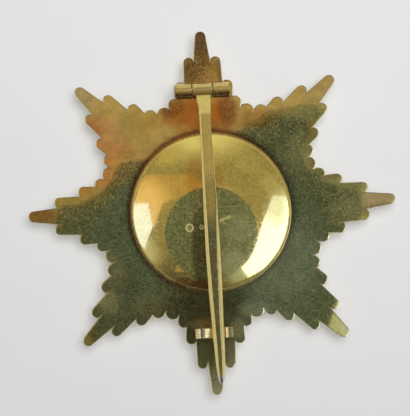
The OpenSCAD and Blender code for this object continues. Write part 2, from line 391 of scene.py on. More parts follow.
def cleaned(mesh):
    """A boolean's result without double points and slivers, with its faces outwards."""
    hair = 0.002 * MM
    bm = bmesh.new()
    bm.from_mesh(mesh)
    bmesh.ops.remove_doubles(bm, verts=bm.verts, dist=hair)
    bmesh.ops.dissolve_degenerate(bm, edges=bm.edges, dist=hair)
    bmesh.ops.recalc_face_normals(bm, faces=bm.faces)
    bm.to_mesh(mesh)
    bm.free()
    return mesh


def combined(obj, tool, operation):
    """obj united with, or cut by, another closed object, which is used up."""
    cut = obj.modifiers.new("combined", "BOOLEAN")
    cut.operation = operation
    cut.solver = "MANIFOLD"
    cut.object = tool
    mesh = cleaned(plain_mesh(obj))
    name = obj.name
    dropped(obj, tool)
    mesh.name = name
    return shown(mesh, name)


def arc(centre, radius, start, end, steps=24):
    """Points along an arc, in degrees."""
    turns = [math.radians(start + (end - start) * i / steps) for i in range(steps + 1)]
    return [(centre[0] + radius * math.cos(a), centre[1] + radius * math.sin(a)) for a in turns]


def circle(centre, radius, steps):
    """Points round a whole circle."""
    return arc(centre, radius, 0, 360, steps)[:-1]


def filleted(corners, steps=5, closed=False):
    """The points of an outline whose corners (x, y, radius) are rounded with arcs.

    An open outline keeps both its ends as they are."""
    points = []
    last = len(corners) - 1
    for i, (x, y, radius) in enumerate(corners):
        corner = Vector((x, y))
        if not radius or (not closed and i in (0, last)):
            points.append(corner)
            continue
        before = (Vector(corners[i - 1][:2]) - corner).normalized()
        after = (Vector(corners[(i + 1) % len(corners)][:2]) - corner).normalized()
        half = before.angle(after) / 2
        centre = corner + (before + after).normalized() * radius / math.sin(half)
        start = corner + before * radius / math.tan(half) - centre
        end = corner + after * radius / math.tan(half) - centre
        sweep = -start.angle_signed(end)
        points += [centre + Matrix.Rotation(sweep * s / steps, 2) @ start for s in range(steps + 1)]
    return points


def skinned(bm, rings):
    """Faces between each ring of points and the next. A ring may be one point, repeated."""
    for near, far in zip(rings, rings[1:]):
        for i in range(len(near)):
            j = (i + 1) % len(near)
            bm.faces.new(tuple(dict.fromkeys((near[i], near[j], far[j], far[i]))))


def revolved(profile, steps):
    """A closed bmesh made by turning a profile of (radius, height) points about Z.

    The profile starts and ends on the axis."""
    bm = bmesh.new()
    turns = [math.tau * i / steps for i in range(steps)]
    rings = []
    for radius, height in profile:
        if radius == 0:
            rings.append([bm.verts.new((0, 0, height))] * steps)
        else:
            rings.append([bm.verts.new((radius * math.cos(a), radius * math.sin(a), height))
                          for a in turns])
    skinned(bm, rings)
    return bm


def block(low, high, name):
    """A box between two corners, with slightly rounded edges."""
    bm = bmesh.new()
    bmesh.ops.create_cube(bm, size=1)
    for vert in bm.verts:
        vert.co = [a + (b - a) * (c + 0.5) for a, b, c in zip(low, high, vert.co)]
    bmesh.ops.bevel(bm, geom=bm.edges[:], offset=0.12 * MM, segments=3, profile=0.5,
                    affect="EDGES")
    return finished(bm, name)


# Geometry node helpers

def geometry_tree(name, sockets):
    """A new tree with one geometry input and the named inputs given as {name: socket kind}."""
    tree = bpy.data.node_groups.new(name, "GeometryNodeTree")
    face = tree.interface
    face.new_socket("Geometry", in_out="OUTPUT", socket_type="NodeSocketGeometry")
    for label, kind in {"Geometry": "Geometry", **sockets}.items():
        face.new_socket(label, in_out="INPUT", socket_type="NodeSocket" + kind)
    return tree, tree.nodes.new("NodeGroupInput").outputs


def ended(tree, geometry, material):
    """Ends a tree: instances made real, material set."""
    real = add(tree, "GeometryNodeRealizeInstances", {"Geometry": geometry})
    painted = add(tree, "GeometryNodeSetMaterial", {"Geometry": real, "Material": material})
    add(tree, "NodeGroupOutput", {"Geometry": painted})


def grown(obj, tree, values):
    """The plain mesh that a tree makes from an object, which is used up."""
    modifier = obj.modifiers.new(tree.name, "NODES")
    modifier.node_group = tree
    for item in tree.interface.items_tree:
        if item.in_out == "INPUT" and item.name in values:
            modifier[item.identifier] = values[item.name]
    mesh = plain_mesh(obj)
    dropped(obj)
    return mesh


# The ray plate

def ray_layout(star_reach):
    """Yields each ray's bearing in degrees, reach and tip radius, anticlockwise from the right.

    A ray between two arms takes its part of how both are longer and askew."""
    for k in range(len(ARMS) * RAYS_PER_ARM):
        arm = (k + RAYS_PER_ARM // 2 - 1) // RAYS_PER_ARM
        steps = k - arm * RAYS_PER_ARM
        way = (steps > 0) - (steps < 0)
        turn, share, tip = RAYS[abs(steps)]
        own, next_arm = ARMS[arm % len(ARMS)], ARMS[(arm + way) % len(ARMS)]
        part = turn / ARM_STEP
        longer, askew = (a + (b - a) * part for a, b in zip(own, next_arm))
        bearing = ARM_STEP * arm + way * turn + askew
        yield bearing, (star_reach + longer * MM) * share, tip * MM


def ray_seats(star_reach):
    """One point for each ray at the middle of its round tip, with its bearing and its size."""
    mesh = bpy.data.meshes.new("ray_seats")
    rays = list(ray_layout(star_reach))
    mesh.from_pydata([turned((reach - tip, 0, 0), bearing) for bearing, reach, tip in rays], [], [])
    bearings = mesh.attributes.new("bearing", "FLOAT", "POINT")
    sizes = mesh.attributes.new("size", "FLOAT", "POINT")
    for i, (bearing, reach, tip) in enumerate(rays):
        bearings.data[i].value = math.radians(bearing)
        sizes.data[i].value = tip / (MAIN_TIP_R * MM)
    return linked(mesh, "ray_seats")


def ray_solid(s, tip_steps=20, round_steps=4):
    """One tapering ray that points along X, with its round tip's middle at the origin.

    Its back is flat with a rounded edge, and its front is a roof with a ridge in the middle."""
    inner = -s.ray_length
    quarter = math.pi / 2
    levels = [(s.edge_round * (1 - math.sin(quarter * i / round_steps)),
               PLATE_BACK - s.edge_round * (1 - math.cos(quarter * i / round_steps)))
              for i in range(round_steps + 1)]
    levels.append((0, PLATE_FRONT))
    end = quarter - s.flank_angle
    turns = [-end + 2 * end * i / tip_steps for i in range(tip_steps + 1)]
    bm = bmesh.new()
    rings = []
    for inset, height in levels:
        radius = MAIN_TIP_R * MM - inset
        side = (radius + s.ray_length * math.sin(s.flank_angle)) / math.cos(s.flank_angle)
        tip = [(radius * math.cos(a), radius * math.sin(a)) for a in turns]
        rings.append([bm.verts.new((x, y, height))
                      for x, y in [(inner, -side), *tip, (inner, side)]])
    skinned(bm, rings)
    bm.faces.new(rings[0])
    slope = (s.ridge_inner - s.ridge_outer) / (s.star_reach - MEDALLION_HIGH.x)
    ridge_end = bm.verts.new((0, 0, PLATE_FRONT - s.ridge_outer))
    ridge_start = bm.verts.new((inner, 0, PLATE_FRONT - s.ridge_outer - slope * s.ray_length))
    edge = rings[-1]
    for i in range(1, len(edge) - 2):
        bm.faces.new((edge[i], edge[i + 1], ridge_end))
    bm.faces.new((edge[0], edge[1], ridge_end, ridge_start))
    bm.faces.new((edge[-2], edge[-1], ridge_start, ridge_end))
    bm.faces.new((edge[-1], edge[0], ridge_start))
    bmesh.ops.triangulate(bm, faces=[f for f in bm.faces if len(f.verts) == 4])
    return finished(bm, "ray_solid", crease=10)


def ray_plate_tree():
    """Rays set on their seats, united with the round middle, and cut level under the medallion."""
    tree, given = geometry_tree("Rays of a star", {
        "Ray": "Object", "Middle Radius": "Float", "Plate Thickness": "Float",
        "Plate Middle": "Float", "Cut Depth": "Float", "Metal": "Material"})
    ray = add(tree, "GeometryNodeObjectInfo", {"Object": given["Ray"]})
    bearing, size = (add(tree, "GeometryNodeInputNamedAttribute", {"Name": name}, data_type="FLOAT")
                     for name in ("bearing", "size"))
    facing = add(tree, "ShaderNodeCombineXYZ", {"Z": bearing})
    scale = add(tree, "ShaderNodeCombineXYZ", {"X": size, "Y": size, "Z": 1})
    rays = add(tree, "GeometryNodeInstanceOnPoints", {
        "Points": given["Geometry"], "Instance": ray.outputs["Geometry"],
        "Rotation": facing, "Scale": scale})
    disc = add(tree, "GeometryNodeMeshCylinder", {
        "Vertices": 180, "Radius": given["Middle Radius"], "Depth": given["Plate Thickness"]})
    lift = add(tree, "ShaderNodeCombineXYZ", {"Z": given["Plate Middle"]})
    middle = add(tree, "GeometryNodeTransform", {"Geometry": disc, "Translation": lift})
    whole = add(tree, "GeometryNodeMeshBoolean", {"Mesh 2": middle},
                operation="UNION", solver="MANIFOLD")
    fed(tree, whole, {"Mesh 2": rays})
    cutter = add(tree, "GeometryNodeMeshCylinder", {
        "Vertices": 180, "Radius": given["Middle Radius"], "Depth": given["Cut Depth"]})
    half_plate, half_cut = (add(tree, "ShaderNodeMath", {0: given[name], 1: 0.5},
                                operation="MULTIPLY") for name in ("Plate Thickness", "Cut Depth"))
    down = add(tree, "ShaderNodeMath", {0: half_plate, 1: half_cut}, operation="ADD")
    height = add(tree, "ShaderNodeMath", {0: given["Plate Middle"], 1: down},
                 operation="SUBTRACT")
    drop = add(tree, "ShaderNodeCombineXYZ", {"Z": height})
    below = add(tree, "GeometryNodeTransform", {"Geometry": cutter, "Translation": drop})
    level = add(tree, "GeometryNodeMeshBoolean", {"Mesh 1": whole, "Mesh 2": below},
                operation="DIFFERENCE", solver="MANIFOLD")
    ended(tree, level, given["Metal"])
    return tree


# Solder

def seam_paths(loops, name):
    """Closed paths of straight edges, one for each loop of corners."""
    bm = bmesh.new()
    for loop in loops:
        verts = [bm.verts.new(corner) for corner in loop]
        for a, b in zip(verts, verts[1:] + verts[:1]):
            bm.edges.new((a, b))
    return linked(meshed(bm, name), name)


def solder_tree():
    """An uneven bead along each path, with small beads of solder scattered on it."""
    tree, given = geometry_tree("Solder seams", {
        "Seam Radius": "Float", "Unevenness": "Float", "Lump Size": "Float",
        "Bead Share": "Float", "Seed": "Int", "Metal": "Material"})
    line = add(tree, "GeometryNodeMeshToCurve", {"Mesh": given["Geometry"]})
    spaced = add(tree, "GeometryNodeResampleCurve", {"Curve": line, "Length": 0.12 * MM},
                 mode="LENGTH")
    lumps = add(tree, "ShaderNodeTexNoise", {"Scale": given["Lump Size"], "Detail": 2})
    swell = add(tree, "ShaderNodeMath", {0: lumps, 1: given["Unevenness"], 2: 0.5},
                operation="MULTIPLY_ADD")
    radius = add(tree, "ShaderNodeMath", {0: swell, 1: given["Seam Radius"]},
                 operation="MULTIPLY")
    ring = add(tree, "GeometryNodeCurvePrimitiveCircle", {"Resolution": 10, "Radius": 1.0})
    seam = add(tree, "GeometryNodeCurveToMesh", {
        "Curve": spaced, "Profile Curve": ring, "Scale": radius})
    chosen = add(tree, "FunctionNodeRandomValue", {
        "Probability": given["Bead Share"], "Seed": given["Seed"]}, data_type="BOOLEAN")
    drop = add(tree, "GeometryNodeMeshIcoSphere", {"Subdivisions": 3, "Radius": 1.0})
    size = add(tree, "FunctionNodeRandomValue", {2: 0.5, 3: 1.25, "Seed": given["Seed"]},
               data_type="FLOAT")
    scaled = add(tree, "ShaderNodeMath", {0: size.outputs[1], 1: given["Seam Radius"]},
                 operation="MULTIPLY")
    drops = add(tree, "GeometryNodeInstanceOnPoints", {
        "Points": spaced, "Selection": chosen.outputs[3], "Instance": drop, "Scale": scaled})
    both = add(tree, "GeometryNodeJoinGeometry", {"Geometry": seam})
    fed(tree, both, {"Geometry": drops})
    ended(tree, both, given["Metal"])
    return tree


# Finishes

def surface(name, roll=0):
    """A new material, with its tree, its shader and the object's own coordinates in mm.

    The coordinates are turned anticlockwise by roll degrees."""
    material = bpy.data.materials.new(name)
    material.use_nodes = True
    tree = material.node_tree
    place = add(tree, "ShaderNodeTexCoord")
    mm = add(tree, "ShaderNodeMapping", {
        "Vector": place.outputs["Object"], "Rotation": (0, 0, math.radians(roll)),
        "Scale": (1 / MM, 1 / MM, 1 / MM)})
    return material, tree, tree.nodes["Principled BSDF"], mm


def opaque(value):
    """A colour as a socket takes it: three linear values get a fourth, a socket stays as it is."""
    return value if isinstance(value, bpy.types.NodeSocket) else (*value, 1)


def tinted(tree, share, under, over):
    """Mixes one colour over another by a share."""
    mixed = add(tree, "ShaderNodeMix", {"Factor": share, 6: opaque(under), 7: opaque(over)},
                data_type="RGBA")
    return mixed.outputs[2]


def chained(tree, operation, values):
    """All of several values put together, such as their sum or the greatest of them."""
    total = values[0]
    for value in values[1:]:
        total = add(tree, "ShaderNodeMath", {0: total, 1: value}, operation=operation)
    return total


def scratches(tree, mm, spacing, lean):
    """Fine scrubbing scratches from 0 to 1, spacing mm apart and turned by lean degrees.

    Real ones are a few hundredths of a millimetre wide. These are coarser, so that they show."""
    along = add(tree, "ShaderNodeMapping", {
        "Vector": mm, "Rotation": (0, 0, math.radians(lean)),
        "Scale": (spacing, 6 * spacing, spacing)}, vector_type="TEXTURE")
    marks = add(tree, "ShaderNodeTexNoise", {
        "Vector": along, "Scale": 1.0, "Detail": 1.0, "Roughness": 0.6})
    return add(tree, "ShaderNodeMapRange", {"Value": marks, "From Min": 0.54, "From Max": 0.82})


def scrubbed(tree, mm, spacing, leans):
    """The sum of scratches in several directions."""
    return chained(tree, "ADD", [scratches(tree, mm, spacing, lean) for lean in leans])


def oval(tree, mm, x, y, wide, high, strength):
    """A soft oval mask at (x, y), wide and high across its halves, as strong as strength inside."""
    away = add(tree, "ShaderNodeVectorMath", {0: mm, 1: (x, y, 0)}, operation="SUBTRACT")
    shrunk = add(tree, "ShaderNodeVectorMath", {0: away, 1: (1 / wide, 1 / high, 0)},
                 operation="MULTIPLY")
    size = add(tree, "ShaderNodeVectorMath", {0: shrunk}, operation="LENGTH")
    return add(tree, "ShaderNodeMapRange", {
        "Value": size.outputs["Value"], "From Min": 0.35, "To Min": strength, "To Max": 0.0},
        interpolation_type="SMOOTHSTEP")


def patched(tree, under, mm, rows):
    """Lays soft oval patches (x, y, half width, half height, strength, hex colour) on a colour."""
    for *place, hex_colour in rows:
        under = tinted(tree, oval(tree, mm, *place), under, linear(hex_colour))
    return under


def spots(tree, mm, rows):
    """The strongest of several soft oval masks."""
    return chained(tree, "MAXIMUM", [oval(tree, mm, *row) for row in rows])


def clouded(tree, under, mm, per_mm, darkest, lightest, detail=5.0, roughness=0.5):
    """A colour made darker and lighter by a soft cloud with per_mm waves to a millimetre."""
    cloud = add(tree, "ShaderNodeTexNoise", {
        "Vector": mm, "Scale": per_mm, "Detail": detail, "Roughness": roughness})
    depth = add(tree, "ShaderNodeMapRange", {
        "Value": cloud, "From Min": 0.3, "From Max": 0.7, "To Min": darkest, "To Max": lightest})
    worn = add(tree, "ShaderNodeVectorMath", {0: under, "Scale": depth}, operation="SCALE")
    return worn.outputs[0]


def speckled(tree, under, mm, pit_colour):
    """Dark pits about half a millimetre wide, thick on the top arm and round the hinge."""
    grain = add(tree, "ShaderNodeTexNoise", {
        "Vector": mm, "Scale": 2.2, "Detail": 4.0, "Roughness": 0.7})
    pits = add(tree, "ShaderNodeMapRange", {"Value": grain, "From Min": 0.4, "From Max": 0.58})
    share = add(tree, "ShaderNodeMath", {0: spots(tree, mm, PITTED), 1: pits},
                operation="MULTIPLY")
    return tinted(tree, share, under, pit_colour)


def wandering(tree, mm, grain, reach):
    """Moves places about by up to half of reach mm, in waves grain mm long, so outlines fray."""
    waves = add(tree, "ShaderNodeTexNoise", {"Vector": mm, "Scale": 1 / grain, "Detail": 5.0})
    shift = add(tree, "ShaderNodeVectorMath", {0: waves.outputs["Color"], 1: (0.5, 0.5, 0.5)},
                operation="SUBTRACT")
    return add(tree, "ShaderNodeVectorMath", {0: shift, 1: (reach, reach, 0), 2: mm},
               operation="MULTIPLY_ADD")


def ringed(tree, under, mm, ring_colour, radius, width, lean, most):
    """Lays a soft ring on a colour, strongest towards the direction lean, in degrees.

    Its radius round the origin and its width to either side are in mm."""
    flat = add(tree, "ShaderNodeVectorMath", {0: mm, 1: (1, 1, 0)}, operation="MULTIPLY")
    size = add(tree, "ShaderNodeVectorMath", {0: flat}, operation="LENGTH")
    away = add(tree, "ShaderNodeMath", {0: size.outputs["Value"], 1: radius}, operation="SUBTRACT")
    off = add(tree, "ShaderNodeMath", {0: away}, operation="ABSOLUTE")
    ring = add(tree, "ShaderNodeMapRange", {
        "Value": off, "From Max": width, "To Min": 1.0, "To Max": 0.0},
        interpolation_type="SMOOTHSTEP")
    a = math.radians(lean)
    side = add(tree, "ShaderNodeVectorMath", {
        0: mm, 1: (math.cos(a) / radius, math.sin(a) / radius, 0)}, operation="DOT_PRODUCT")
    share = add(tree, "ShaderNodeMapRange", {
        "Value": side.outputs["Value"], "From Min": -0.7, "From Max": 0.6,
        "To Min": 0.25 * most, "To Max": most})
    mask = add(tree, "ShaderNodeMath", {0: ring, 1: share}, operation="MULTIPLY")
    return tinted(tree, mask, under, ring_colour)


def scratched(tree, shader, gilt, marks, bare, polished, scoured):
    """Where marks run, bare metal shows through the gilding, and it is scoured instead of polished.

    The rough lines scatter light from all round over the clear mirror between them."""
    share = add(tree, "ShaderNodeMapRange", {"Value": marks, "To Max": PALER}, clamp=False)
    rough = add(tree, "ShaderNodeMapRange", {"Value": marks, "To Min": polished, "To Max": scoured})
    fed(tree, shader, {"Base Color": tinted(tree, share, gilt, bare), "Roughness": rough})


def hazed(tree, shader, mirror, mm, per_mm, most):
    """Sets how clear a mirror a metal is, less by up to most where a fine haze of wear lies."""
    haze = add(tree, "ShaderNodeTexNoise", {
        "Vector": mm, "Scale": per_mm, "Detail": 4.0, "Roughness": 0.7})
    veil = add(tree, "ShaderNodeMapRange", {
        "Value": haze, "From Min": 0.36, "From Max": 0.66, "To Max": -most})
    clear = add(tree, "ShaderNodeMath", {0: mirror, 1: veil}, operation="ADD")
    fed(tree, shader, {"Metallic": clear})


def fire_gilt_plate(finish):
    """Fire-gilt silver, scrubbed: a hazy mirror with fine scratches, greenish gilding low down and
    warmer gilding high up, partly their own tone and partly a painted reflection; brown stains
    where it was soldered; painted shade below the dome; and soiling and painted shade round the
    dome.

    Its edge is pale bare metal with a painted highlight, and painted shade where it faces up the
    star."""
    material, tree, shader, mm = surface("fire_gilt_plate")
    frayed = wandering(tree, mm, grain=4, reach=5)
    split = add(tree, "ShaderNodeSeparateXYZ", {"Vector": frayed})
    # Greenish gilding low down and warmer gilding high up meet where the mirrored gold and shaded
    # zones meet: partly their own tone, partly a painted reflection
    rise = add(tree, "ShaderNodeMath", {0: split.outputs["X"], 1: -0.4, 2: split.outputs["Y"]},
               operation="MULTIPLY_ADD")
    gold_zone = add(tree, "ShaderNodeMapRange", {"Value": rise, "From Min": 11.5, "From Max": 16.5},
               interpolation_type="SMOOTHSTEP")
    gilt = tinted(tree, gold_zone, finish.cool_gilt, finish.warm_gilt)
    gilt = patched(tree, gilt, frayed, PLATE_STAINS_AND_SHADE)
    near_rim = wandering(tree, mm, grain=1.2, reach=0.7)
    # A deep brown ring round the dome, strongest to the upper right: soiling and painted shade
    gilt = ringed(tree, gilt, near_rim, finish.pits_and_shade, radius=17.9, width=2.6, lean=60, most=0.56)
    gilt = ringed(tree, gilt, near_rim, finish.heat_stain,
                  radius=18.5, width=0.85, lean=140, most=0.78)
    gilt = clouded(tree, gilt, mm, per_mm=0.4, darkest=0.7, lightest=1.15,
                   detail=8.0, roughness=0.75)
    gilt = speckled(tree, gilt, mm, finish.pits_and_shade)
    # The plate's edge: pale bare metal, less of a mirror as a painted highlight where it faces down
    # the star, and deep brown painted shade where it faces up it
    place = add(tree, "ShaderNodeTexCoord")
    facing = add(tree, "ShaderNodeSeparateXYZ", {"Vector": place.outputs["Normal"]})
    edge = add(tree, "ShaderNodeMapRange", {
        "Value": facing.outputs["Z"], "From Min": 0.7, "From Max": 0.98,
        "To Min": 0.95, "To Max": 0.0})
    upward = add(tree, "ShaderNodeMapRange", {
        "Value": facing.outputs["Y"], "From Min": 0.2, "From Max": 0.5})
    rim = tinted(tree, upward, finish.bare_metal, finish.tarnish_and_shade)
    gilt = tinted(tree, edge, gilt, rim)
    light = add(tree, "ShaderNodeMath", {0: 1.0, 1: upward}, operation="SUBTRACT")
    lit = add(tree, "ShaderNodeMath", {0: light, 1: edge}, operation="MULTIPLY")
    dull = chained(tree, "MAXIMUM", [spots(tree, mm, DULL), lit])
    mirror = add(tree, "ShaderNodeMapRange", {"Value": dull, "To Min": 0.97, "To Max": 0.45})
    hazed(tree, shader, mirror, mm, per_mm=2.2, most=0.16)
    marks = scrubbed(tree, mm, spacing=0.13, leans=(4, -35, 60))
    scratched(tree, shader, gilt, marks, finish.bare_metal, polished=0.02, scoured=0.18)
    return material


def polished_gilt_sheet(finish):
    """Thin silver sheet, spun, gilt and polished: a clear mirror under a haze of fine scratches,
    with the punches' outlines worn and painted bright as a highlight, a painted highlight along the
    upper edge of its rim, and a reddish brown stain in the corner of its flange."""
    material, tree, shader, mm = surface("polished_gilt_sheet")
    gilt = clouded(tree, tuple(finish.dome_gilt), mm, per_mm=0.5, darkest=0.9, lightest=1.0)
    gilt = patched(tree, gilt, mm, DOME_STAINS_AND_SHADE)
    near_rim = wandering(tree, mm, grain=1, reach=0.3)
    gilt = ringed(tree, gilt, near_rim, finish.heat_stain,
                  radius=18, width=0.45, lean=140, most=0.8)
    # The punches' outlines and the rim's upper edge: a painted highlight, less of a mirror and more
    # bare metal
    punch_highlight = add(tree, "ShaderNodeAttribute", attribute_name="punch").outputs["Fac"]
    dull = add(tree, "ShaderNodeMapRange", {"Value": punch_highlight, "To Min": 0.95, "To Max": 0.5})
    hazed(tree, shader, dull, mm, per_mm=2, most=0.19)
    marks = scrubbed(tree, mm, spacing=0.12, leans=(6, -30, 50))
    worn = add(tree, "ShaderNodeMath", {0: punch_highlight, 1: 2.5, 2: marks}, operation="MULTIPLY_ADD")
    scratched(tree, shader, gilt, worn, finish.bare_metal, polished=0.02, scoured=0.26)
    return material


def pale_gilt(finish, name, roughness, leans=(90, 88), tip_y=None, shade_height=0.0):
    """Thinly gilt drawn silver, filed and polished along its length: pale, bright and streaky,
    with painted shade in deep brown low down, under the knuckles and in their gaps, in olive gold
    on their side that faces the star's middle, and, on the pin, bare silver at its tip."""
    material, tree, shader, mm = surface(name)
    gilt = clouded(tree, tuple(finish.pale_gilt), mm, per_mm=0.8, darkest=0.88, lightest=1.0)
    split = add(tree, "ShaderNodeSeparateXYZ", {"Vector": mm})
    if tip_y is not None:
        bare = add(tree, "ShaderNodeMapRange", {
            "Value": split.outputs["Y"], "From Min": tip_y / MM, "From Max": tip_y / MM + 1.2,
            "To Min": 1.0, "To Max": 0.0})
        gilt = tinted(tree, bare, gilt, finish.silver)
    # Painted shade: deep brown low down, under the knuckles and in their gaps, olive gold on their
    # side that faces the star's middle, and less of a mirror in all of them
    low, inner, under, gap_shade = shade_masks(tree, split, shade_height, hinge_only=tip_y is not None)
    gilt = tinted(tree, inner, gilt, finish.shaded_side_gilt)
    painted_shade = chained(tree, "MAXIMUM", [low, gap_shade, under])
    gilt = tinted(tree, painted_shade, gilt, finish.tarnish_and_shade)
    dirt_and_shade = chained(tree, "MAXIMUM", [painted_shade, inner])
    mirror = add(tree, "ShaderNodeMapRange", {"Value": dirt_and_shade, "To Min": 0.94, "To Max": 0.2})
    fed(tree, shader, {"Metallic": mirror})
    marks = scrubbed(tree, mm, spacing=0.2, leans=leans)
    scratched(tree, shader, gilt, marks, finish.bare_metal,
              polished=0.7 * roughness, scoured=1.5 * roughness)
    return material


def shade_masks(tree, place, shade_height, hinge_only):
    """Where painted shade lies on a hinge part: low down, up to shade_height mm above the plate;
    on the side of the knuckles that faces the star's middle; under that side; and in the gaps
    between them.

    The last three lie round the hinge alone, and so does the first one with hinge_only."""
    low = add(tree, "ShaderNodeMapRange", {
        "Value": place.outputs["Z"], "From Min": PLATE_BACK / MM,
        "From Max": PLATE_BACK / MM + max(shade_height, 0.01), "To Min": 0.9, "To Max": 0.0},
        interpolation_type="SMOOTHSTEP")
    coord = add(tree, "ShaderNodeTexCoord")
    facing = add(tree, "ShaderNodeSeparateXYZ", {"Vector": coord.outputs["Normal"]})
    inner = add(tree, "ShaderNodeMapRange", {
        "Value": facing.outputs["Y"], "From Min": -0.4, "From Max": 0.1,
        "To Min": 0.85, "To Max": 0.0})
    under = add(tree, "ShaderNodeMapRange", {
        "Value": facing.outputs["Y"], "From Min": -0.8, "From Max": -0.35,
        "To Min": min(0.95, 0.3 * shade_height), "To Max": 0.0})
    sideways = add(tree, "ShaderNodeMath", {0: facing.outputs["X"]}, operation="ABSOLUTE")
    end = add(tree, "ShaderNodeMapRange", {
        "Value": sideways, "From Min": 0.3, "From Max": 0.7, "To Max": 0.95})
    near = add(tree, "ShaderNodeMapRange", {
        "Value": place.outputs["Y"],
        "From Min": HINGE.y / MM - 1.7, "From Max": HINGE.y / MM - 1.3})
    masks = [add(tree, "ShaderNodeMath", {0: mask, 1: near}, operation="MULTIPLY")
             for mask in (low, inner, under, end)]
    if not hinge_only:
        masks[0] = low
    return masks


def matt_gilt_front(finish):
    """Gilt silver with a fine matt ground, left plain: a soft sheen without reflections."""
    material, tree, shader, mm = surface("matt_gilt_front")
    grain = add(tree, "ShaderNodeTexNoise", {"Vector": mm, "Scale": 3.0, "Detail": 3.0})
    rough = add(tree, "ShaderNodeMapRange", {"Value": grain, "To Min": 0.2, "To Max": 0.45})
    bumps = add(tree, "ShaderNodeBump", {"Height": grain, "Strength": 1.0, "Distance": 0.01 * MM})
    fed(tree, shader, {"Base Color": opaque(finish.dome_gilt), "Metallic": 0.95,
                       "Roughness": rough, "Normal": bumps})
    return material


# Operators, one for each piece

class STAR_OT_ray_plate(bpy.types.Operator):
    """Makes the plate of 64 rays"""
    bl_idname = "star.ray_plate"
    bl_label = "Ray Plate"

    def execute(self, context):
        s = context.scene.star_sizes
        ray = ray_solid(s)
        values = {
            "Ray": ray,
            "Middle Radius": MEDALLION_HIGH.x + 0.3 * MM,
            "Plate Thickness": PLATE_BACK - PLATE_FRONT,
            "Plate Middle": (PLATE_BACK + PLATE_FRONT) / 2,
            "Cut Depth": 3 * s.ridge_inner,
        }
        mesh = grown(ray_seats(s.star_reach), ray_plate_tree(), values)
        dropped(ray)
        plate = shown(cleaned(mesh), "ray_plate", crease=5)
        placed(plate, fire_gilt_plate(context.scene.star_finish), "star", "gilt_plate", "star")
        return {"FINISHED"}


def barrel(start, end, radius, soft, steps, name):
    """A round bar along the hinge's axis from start to end, with its ends rounded by soft."""
    corners = [(0, start, 0), (radius, start, soft), (radius, end, soft), (0, end, 0)]
    bm = revolved(filleted(corners), steps)
    turn = Matrix.Translation((0, HINGE.y, HINGE.z)) @ Matrix.Rotation(math.pi / 2, 4, "Y")
    bmesh.ops.transform(bm, matrix=turn, verts=bm.verts)
    return finished(bm, name)


def knuckle(s, start, end, name):
    """One knuckle of the hinge, before its bore."""
    return barrel(start, end, s.knuckle_radius, soft=0.16 * MM, steps=64, name=name)


def bored(s, obj):
    """A hinge part with the hole for the rod."""
    hole = barrel(ROD_LOW.x - MM, ROD_HIGH.x + MM, s.bore_radius, soft=0, steps=48, name="bore")
    return combined(obj, hole, "DIFFERENCE")


class STAR_OT_outer_knuckles(bpy.types.Operator):
    """Makes the hinge's two outer knuckles on their soldered feet"""
    bl_idname = "star.outer_knuckles"
    bl_label = "Outer Knuckles"

    def execute(self, context):
        s = context.scene.star_sizes
        material = pale_gilt(context.scene.star_finish, "pale_gilt_knuckles", 0.3, shade_height=3.2)
        half_foot = s.foot_width / 2
        inset = 0.05 * MM
        starts = {"knuckle_left": ROD_LOW.x, "knuckle_right": ROD_HIGH.x - s.outer_knuckle}
        for name, start in starts.items():
            end = start + s.outer_knuckle
            foot = block((start + inset, HINGE.y - half_foot, PLATE_BACK - SOLDER_SINK),
                         (end - inset, HINGE.y + half_foot, HINGE.z), "foot")
            whole = combined(knuckle(s, start, end, name), foot, "UNION")
            placed(bored(s, whole), material, "star", "gilt_plate")
        return {"FINISHED"}


class STAR_OT_hinge_rod(bpy.types.Operator):
    """Makes the hinge's rod with its riveted ends"""
    bl_idname = "star.hinge_rod"
    bl_label = "Hinge Rod"

    def execute(self, context):
        radius = (ROD_HIGH.z - ROD_LOW.z) / 2
        rod = barrel(ROD_LOW.x, ROD_HIGH.x, radius, soft=0.25 * MM, steps=40,
                     name="hinge_rod_riveted")
        material = pale_gilt(context.scene.star_finish, "pale_gilt_wire", 0.3)
        placed(rod, material, "star", "gilt_wire", "hinge_rod")
        return {"FINISHED"}


class STAR_OT_catch(bpy.types.Operator):
    """Makes the catch, a strip bent into a hook"""
    bl_idname = "star.catch"
    bl_label = "Catch"

    def execute(self, context):
        s = context.scene.star_sizes
        bm = bmesh.new()
        front = [bm.verts.new((x, -s.catch_below - s.catch_width / 2, PLATE_BACK + z))
                 for x, z in catch_profile(s)]
        back = [bm.verts.new((v.co.x, v.co.y + s.catch_width, v.co.z)) for v in front]
        skinned(bm, [front, back])
        bm.faces.new(front)
        bm.faces.new(back[::-1])
        rims = [e for e in bm.edges if abs(e.verts[0].co.y - e.verts[1].co.y) < 0.0001 * MM]
        bmesh.ops.bevel(bm, geom=rims, offset=0.16 * MM, segments=4, profile=0.5, affect="EDGES")
        material = pale_gilt(context.scene.star_finish, "pale_gilt_catch", 0.36, shade_height=0.7)
        placed(finished(bm, "catch"), material, "star", "gilt_plate")
        return {"FINISHED"}


